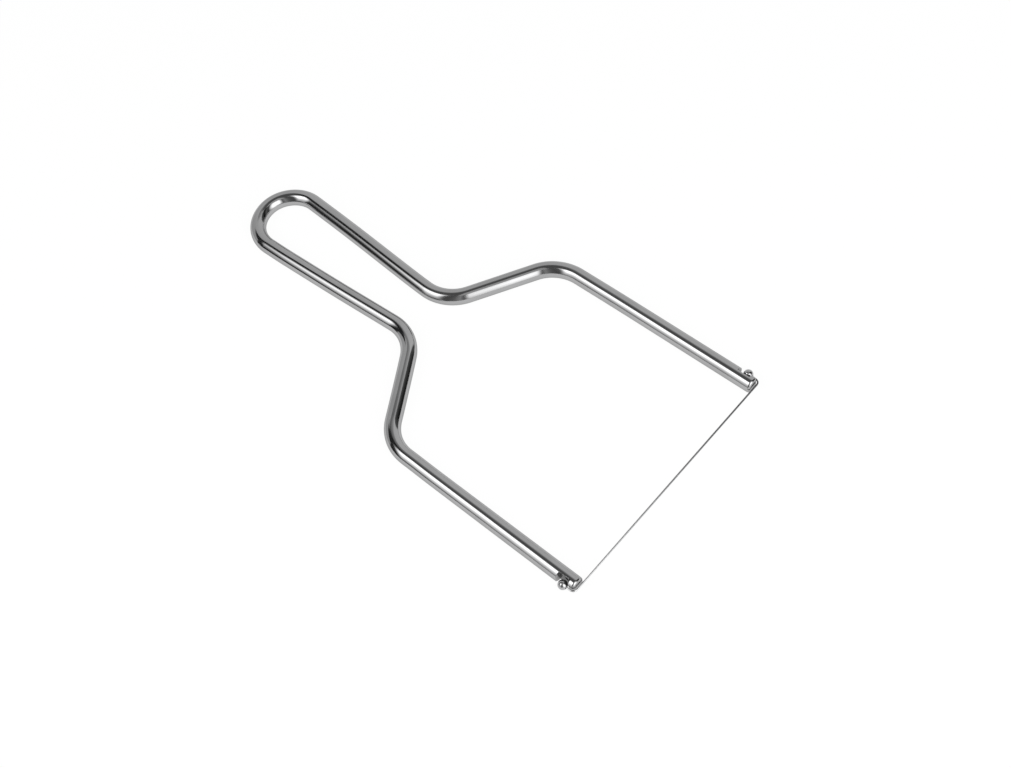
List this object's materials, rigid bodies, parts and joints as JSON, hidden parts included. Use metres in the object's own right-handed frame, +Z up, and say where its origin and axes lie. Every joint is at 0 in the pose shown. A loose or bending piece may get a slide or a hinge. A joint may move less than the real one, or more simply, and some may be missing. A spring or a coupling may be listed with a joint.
{
  "type": "wire slicer",
  "caption": "Hand-held wire slicer: a bent steel bar forms a loop handle and two arms, with a cutting wire stretched between the arm ends.",
  "frame": {"origin": "middle of the slicer's outline, on the flat surface that it lies on", "axes": "+X across the slicer to its right arm, +Y from the cutting wire to the handle loop, +Z up from the surface"},
  "size_m": [0.1278, 0.2464, 0.0075],
  "materials": {
    "polished_bar": "polished stainless steel",
    "steel_wire": "drawn stainless steel wire",
    "steel_ball": "satin stainless steel"
  },
  "bodies": {
    "frame": {"frame_bar": "polished_bar"},
    "wire_set": {"cutting_wire": "steel_wire", "left_wire_ball": "steel_ball", "right_wire_ball": "steel_ball"}
  },
  "joints": [
    {"name": "wire_release", "type": "slide", "parent": "frame", "child": "wire_set", "axis": [0, 0, 1], "range_m": [0, 0.006]}
  ]
}
